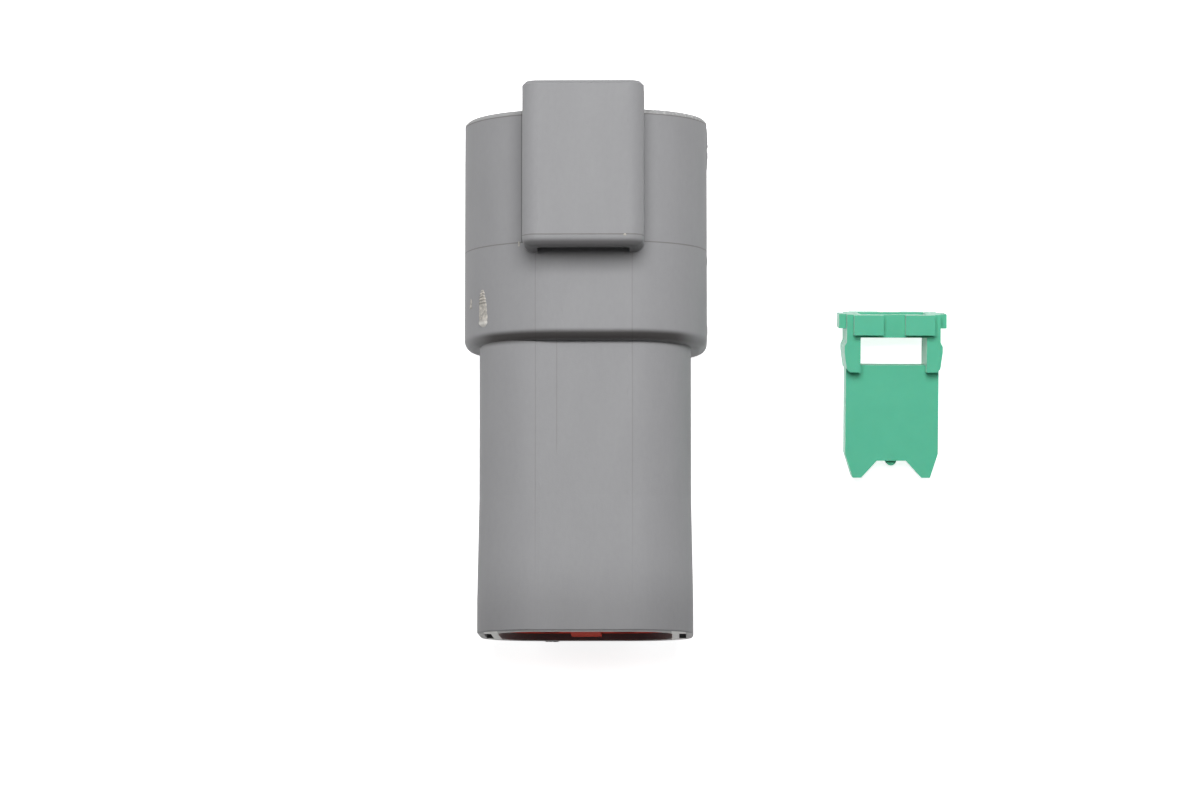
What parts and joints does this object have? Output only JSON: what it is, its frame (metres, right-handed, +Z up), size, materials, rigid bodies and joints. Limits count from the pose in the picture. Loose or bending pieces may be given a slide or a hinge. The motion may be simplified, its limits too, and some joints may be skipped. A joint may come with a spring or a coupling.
{
  "type": "sealed automotive connector",
  "caption": "Sealed grey pin connector housing with latch bridge, round-pin contacts, red rear wire seal and a green wedge lock taken out beside it.",
  "frame": {"origin": "on the surface it lies on, below the housing's axis at the mould parting plane of the shroud", "axes": "+Y toward the mating end, +Z up through the latch bridge, +X toward the wedge lock that lies beside"},
  "size_m": [0.042, 0.0463, 0.0227],
  "materials": {
    "housing_plastic": "fine moulded, matte",
    "seal_silicone": "satin",
    "contact_metal": "nickel plated",
    "wedge_plastic": "moulded, satin"
  },
  "bodies": {
    "root": {"housing": "housing_plastic", "rear_wire_seal": "seal_silicone", "contact_pin_1": "contact_metal", "contact_pin_2": "contact_metal", "contact_pin_3": "contact_metal", "contact_pin_4": "contact_metal", "wedge_lock": "wedge_plastic"}
  },
  "joints": []
}
